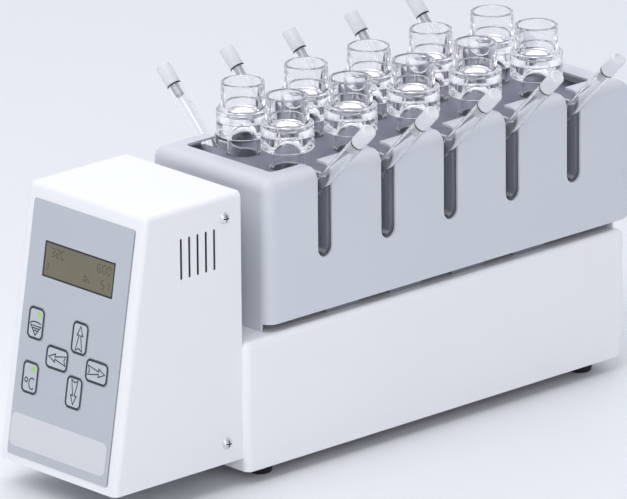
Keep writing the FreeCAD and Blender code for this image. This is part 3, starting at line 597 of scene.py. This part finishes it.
ring_low = -lower_flange
outer = turned("chamber_outside", [(0, floor_drop)]
               + bend((body_radius - body_round, floor_drop + body_round), body_round, -90, 0)
               + bend((body_radius + cove, ring_low - cove), cove, 180, 90, 8)
               + bend((flange_radius - flange_round, ring_low + flange_round), flange_round, -90, 0)
               + bend((flange_radius - flange_edge, -flange_edge - half_seam), flange_edge, 0, 90, 3)
               + [(0, -half_seam)], 96)
inside = body_radius - wall
hollow = turned("chamber_inside", [(0, floor_drop + wall)]
                + bend((inside - inside_round, floor_drop + wall + inside_round), inside_round, -90, 0)
                + [(inside, overrun), (0, overrun)], 96)


def rod(name, radius, length, tilt, sides=64):
    """A round bar from the arm's root, leaning out by a tilt."""
    mesh = turned(name, [(0, 0), (radius, 0), (radius, length), (0, length)], sides)
    mesh.transform(Matrix.Translation((0, 0, floor_drop + arm_start)) @ Matrix.Rotation(tilt, 4, "Y"))
    return mesh


chambers = {}
for side in (1, -1):
    tilt = side * arm_tilt
    whole = combined("chamber_whole", outer, rod("arm", arm_radius, arm_length, tilt), "UNION")
    void = combined("chamber_void", hollow, rod("bore", arm_radius - wall, arm_length + overrun, tilt),
                    "UNION")
    chambers[side] = combined("chamber", whole, void, "DIFFERENCE")
cup_inside = cup_radius - cup_wall
cup = turned("cup", [(orifice, half_seam)]
             + bend((flange_radius - flange_edge, flange_edge + half_seam), flange_edge, -90, 0, 3)
             + bend((flange_radius - flange_round, upper_flange - flange_round), flange_round, 0, 90)
             + bend((cup_radius + cup_neck_round, upper_flange + cup_neck_round), cup_neck_round, 270, 180, 4)
             + bend((cup_radius - cup_wall / 2, cup_top - cup_wall / 2), cup_wall / 2, 0, 180, 12)
             + bend((cup_inside - cup_floor_round, cup_floor + cup_floor_round), cup_floor_round, 0, -90)
             + bend((orifice + orifice_round, cup_floor - orifice_round), orifice_round, 90, 180, 3), 96)
cell_count = 10
cells = []
for number in range(1, cell_count + 1):
    low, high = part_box("donor_" + str(number))
    middle = (low + high) / 2
    cells.append((number, 1 if middle.x > 0 else -1, Vector((middle.x, middle.y, joint))))
for number, side, middle in cells:
    at = Matrix.Translation(middle)
    receptor, donor = "receptor_" + str(number), "donor_" + str(number)
    fit("glass_chamber_" + str(number), chambers[side], glass, receptor, at, [receptor])
    fit("glass_cup_" + str(number), cup, glass, donor, at, [donor])

# Arm stoppers
# Turned plugs of natural polypropylene that close the arms, each with a black ring against the glass.
# Light goes some way into them, so they look milky white and soft.
milky = surface("natural_polypropylene", "#E9EBF0", "#F2F3F6", 4 * mm, 0.5 * mm, 0.006 * mm, (0.3, 0.42),
                {"Transmission Weight": 0.08, "IOR": 1.49})[0]

# Black nitrile rubber: dull, and dark enough to draw a line round the arm's mouth
nitrile = surface("black_nitrile", "#17181A", "#222326", 2 * mm, 0.4 * mm, 0.01 * mm, (0.5, 0.65))[0]

plug_radius = 4.9 * mm
plug_end = 16.5 * mm
plug_round = 1.2 * mm
skirt_round = 0.4 * mm
spigot_radius = 3 * mm
spigot_length = 8 * mm
spigot_round = 1 * mm
groove_radius = plug_radius - 0.7 * mm
groove_low, groove_high = 0.1 * mm, 1 * mm
dimple_radius = 3.1 * mm
dimple_floor_radius = 2.9 * mm
dimple_depth = 0.5 * mm
ring_middle = (plug_radius - 0.42 * mm, 0.55 * mm)
ring_thickness = 0.45 * mm
plug = turned("plug", [(0, -spigot_length)]
              + bend((spigot_radius - spigot_round, spigot_round - spigot_length), spigot_round, -90, 0)
              + [(spigot_radius, groove_low), (groove_radius, groove_low), (groove_radius, groove_high)]
              + bend((plug_radius - skirt_round, groove_high + skirt_round), skirt_round, -90, 0, 3)
              + bend((plug_radius - plug_round, plug_end - plug_round), plug_round, 0, 90)
              + [(dimple_radius, plug_end), (dimple_floor_radius, plug_end - dimple_depth),
                 (0, plug_end - dimple_depth)], 64)
ring = turned("ring", bend(ring_middle, ring_thickness, 0, 360, 16)[:-1], 64)
for number, side, middle in cells:
    way = Vector((side * math.sin(arm_tilt), 0, math.cos(arm_tilt)))
    mouth = middle + Vector((0, 0, floor_drop + arm_start)) + way * arm_length
    at = Matrix.Translation(mouth) @ Matrix.Rotation(side * arm_tilt, 4, "Y")
    name = "stopper_" + str(number)
    fit("arm_plug_" + str(number), plug, milky, name, at, [name])
    fit("arm_ring_" + str(number), ring, nitrile, name, at)

# Stirring bars
# Small magnets moulded into white fluoropolymer, one on the floor of each chamber.
# The coating is waxy and very smooth, with a soft wide highlight.
wax = surface("moulded_fluoropolymer", "#E9E9E6", "#F5F5F2", 3 * mm, 0.5 * mm, 0.004 * mm, (0.3, 0.4))[0]
for number, _, _ in cells:
    dress("stir_bar_" + str(number), wax)

# Studio
# A plain pale floor under four wide soft lights: overhead, front left, low in front and behind.
# The room is brighter behind the object, and that shows white through the glass.
floor_half = 12
shell = bmesh.new()
for x, y in ((-1, -1), (1, -1), (1, 1), (-1, 1)):
    shell.verts.new((x * floor_half, y * floor_half, 0))
shell.faces.new(shell.verts)
floor_mesh = bpy.data.meshes.new("floor")
shell.to_mesh(floor_mesh)
shell.free()
floor_mesh.materials.append(surface("matt_floor", "#EDEEF1", "#F0F1F3", 2.0, 4 * mm, 0.01 * mm, (0.6, 0.7))[0])
floor = show("floor", floor_mesh)


def bearing(azimuth, elevation):
    """The way from the object towards an azimuth and an elevation, in radians."""
    level_share = math.cos(elevation)
    return Vector((math.sin(azimuth) * level_share, -math.cos(azimuth) * level_share, math.sin(elevation)))


on_bench = Vector((0, 0, 0.12))
for name, azimuth_deg, elevation_deg, distance, size, power in (("overhead", 40, 85, 2.4, 1.6, 8),
                                                                ("front_left", 5, 55, 2.5, 1.6, 17.5),
                                                                ("low_front", 50, 22, 3.0, 1.4, 17),
                                                                ("backdrop", 228, 50, 2.5, 1.8, 6)):
    light = bpy.data.lights.new(name, "AREA")
    light.shape, light.size, light.energy = "DISK", size, power
    soft_box = show(name, light)
    way = bearing(math.radians(azimuth_deg), math.radians(elevation_deg))
    soft_box.location = on_bench + way * distance
    soft_box.rotation_mode = "QUATERNION"
    soft_box.rotation_quaternion = (-way).to_track_quat("-Z", "Y")

world = bpy.data.worlds.new("studio")
bpy.context.scene.world = world
world.use_nodes = True
sky = world.node_tree
way_out = add(sky, "TexCoord").outputs["Generated"]
way_behind = (-0.735, 0.678, 0.0)
behind = add(sky, "VectorMath", {0: way_out, 1: way_behind}, operation="DOT_PRODUCT").outputs["Value"]
strength = add(sky, "MapRange", {"Value": behind, "From Min": -0.2, "From Max": 0.7,
                                 "To Min": 0.45, "To Max": 1.0})
feed(sky, sky.nodes["Background"], {"Color": linear("#F2F5FF"), "Strength": strength})
bpy.context.scene.view_settings.view_transform = "Standard"

# Light is thrown to and fro many times inside a glass wall before it leaves, and each time counts
bounces = 32
light_paths = bpy.context.scene.cycles
light_paths.max_bounces = light_paths.glossy_bounces = light_paths.transmission_bounces = bounces

# A long lens from the front right, looking down by about 18 degrees
camera = show("camera", bpy.data.cameras.new("camera"))
bpy.context.scene.camera = camera
camera_middle = (4.3968, -4.0534, 2.0903)
azimuth, elevation, roll = math.radians(47.35), math.radians(18.25), math.radians(-0.51)
camera.data.lens, camera.data.sensor_width = 557.8, 36.0
camera.data.clip_start, camera.data.clip_end = 0.5, 60
back = bearing(azimuth, elevation)
level = Vector((0, 0, 1)).cross(back).normalized()
upright = back.cross(level)
camera_x = level * math.cos(roll) + upright * math.sin(roll)
camera_y = -level * math.sin(roll) + upright * math.cos(roll)
turn = Matrix((camera_x, camera_y, back)).transposed().to_4x4()
camera.matrix_world = Matrix.Translation(camera_middle) @ turn
